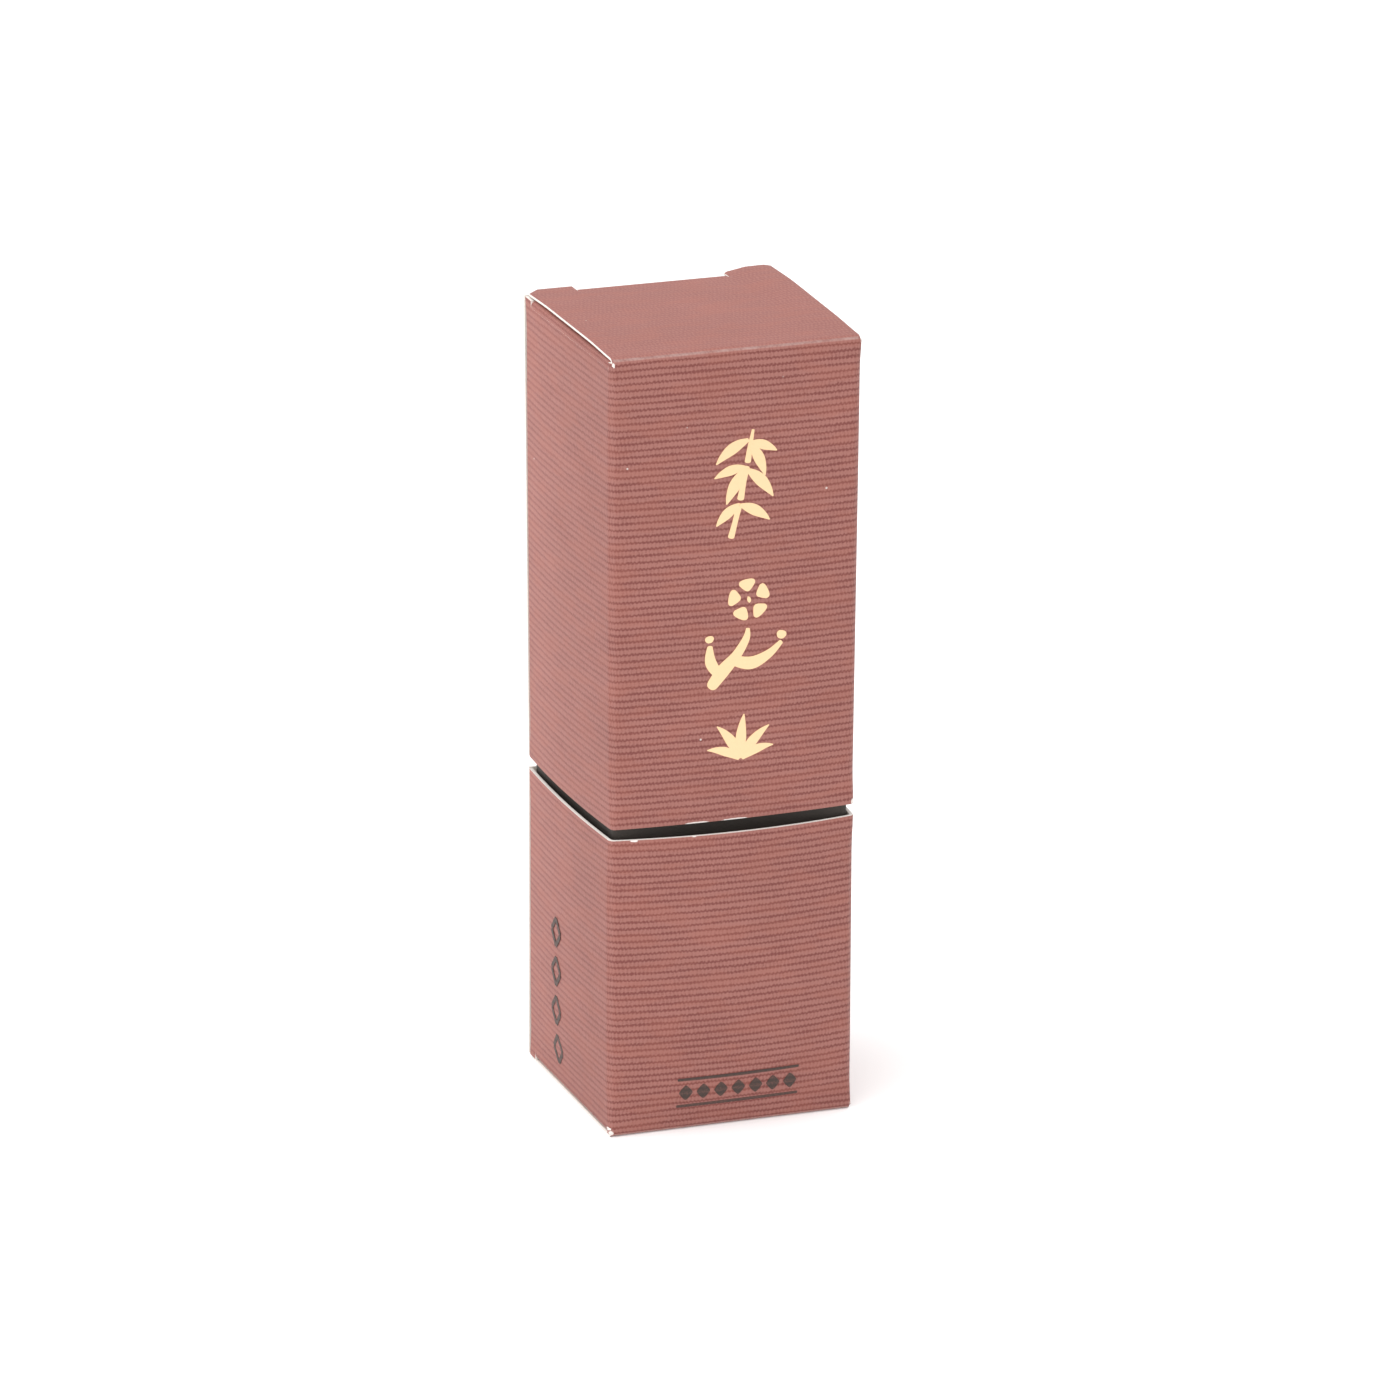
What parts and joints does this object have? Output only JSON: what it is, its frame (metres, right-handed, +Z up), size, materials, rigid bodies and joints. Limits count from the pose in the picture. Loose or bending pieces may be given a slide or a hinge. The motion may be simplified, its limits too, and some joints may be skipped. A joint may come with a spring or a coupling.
{
  "type": "incense cone carton",
  "caption": "Slim square paperboard carton with a tall lift-off cap, short base, black inner sleeve and tuck-in ends, holding incense cones.",
  "frame": {"origin": "middle of the carton's underside, on the bottom panel's outer face", "axes": "+Z up along the carton's length; -Y the decorated front; -X the carton's left side seen from the front"},
  "size_m": [0.028, 0.028, 0.0884],
  "materials": {
    "cover_paper": "ribbed, matt, woven-look printed paperboard",
    "board_back": "uncoated grey-white board",
    "gold_foil": "pale gold hot-stamped foil, satin",
    "black_print": "matt black ink",
    "black_paper": "matt black solid-dyed paper board",
    "incense": "pressed aromatic wood powder, matt"
  },
  "bodies": {
    "base": {"base_walls": "cover_paper", "base_glue_tab": "board_back", "inner_sleeve": "black_paper", "sleeve_glue_tab": "black_paper", "cones_lower": "incense", "cones_middle": "incense", "cones_upper": "incense", "front_print": "black_print", "side_print": "black_print"},
    "cap": {"cap_walls": "cover_paper", "cap_glue_tab": "board_back", "foil_upper": "gold_foil", "foil_middle": "gold_foil", "foil_lower": "gold_foil"},
    "lid": {"cap_lid": "cover_paper"},
    "lid_tuck": {"cap_tuck_flap": "cover_paper"},
    "cap_dust_left": {"cap_dust_flap_left": "cover_paper"},
    "cap_dust_right": {"cap_dust_flap_right": "cover_paper"},
    "bottom": {"base_bottom": "cover_paper"},
    "bottom_tuck": {"base_tuck_flap": "cover_paper"},
    "base_dust_left": {"base_dust_flap_left": "cover_paper"},
    "base_dust_right": {"base_dust_flap_right": "cover_paper"}
  },
  "joints": [
    {"name": "cap_slide", "type": "slide", "parent": "base", "child": "cap", "axis": [0, 0, 1], "range_m": [-0.0011, 0.05]},
    {"name": "lid_hinge", "type": "hinge", "parent": "cap", "child": "lid", "pos_m": [0, -0.01405, 0.088], "axis": [1, 0, 0], "range_deg": [0, 180]},
    {"name": "lid_tuck_crease", "type": "hinge", "parent": "lid", "child": "lid_tuck", "pos_m": [0, 0.0126, 0.088], "axis": [1, 0, 0], "range_deg": [0, 75]},
    {"name": "cap_dust_left_crease", "type": "hinge", "parent": "cap", "child": "cap_dust_left", "pos_m": [-0.014, 0, 0.08753], "axis": [0, -1, 0], "range_deg": [0, 92]},
    {"name": "cap_dust_right_crease", "type": "hinge", "parent": "cap", "child": "cap_dust_right", "pos_m": [0.014, 0, 0.08753], "axis": [0, 1, 0], "range_deg": [0, 92]},
    {"name": "bottom_hinge", "type": "hinge", "parent": "base", "child": "bottom", "pos_m": [0, -0.01405, 0.0004], "axis": [-1, 0, 0], "range_deg": [0, 180]},
    {"name": "bottom_tuck_crease", "type": "hinge", "parent": "bottom", "child": "bottom_tuck", "pos_m": [0, 0.0126, 0.0004], "axis": [-1, 0, 0], "range_deg": [0, 75]},
    {"name": "base_dust_left_crease", "type": "hinge", "parent": "base", "child": "base_dust_left", "pos_m": [-0.014, 0, 0.00088], "axis": [0, 1, 0], "range_deg": [0, 92]},
    {"name": "base_dust_right_crease", "type": "hinge", "parent": "base", "child": "base_dust_right", "pos_m": [0.014, 0, 0.00088], "axis": [0, -1, 0], "range_deg": [0, 92]}
  ],
  "couplings": [
    {"joint": "lid_tuck_crease", "follows": "lid_hinge", "ratio": 0.4},
    {"joint": "cap_dust_left_crease", "follows": "lid_hinge", "ratio": 0.5},
    {"joint": "cap_dust_right_crease", "follows": "lid_hinge", "ratio": 0.5},
    {"joint": "bottom_tuck_crease", "follows": "bottom_hinge", "ratio": 0.4},
    {"joint": "base_dust_left_crease", "follows": "bottom_hinge", "ratio": 0.5},
    {"joint": "base_dust_right_crease", "follows": "bottom_hinge", "ratio": 0.5}
  ]
}
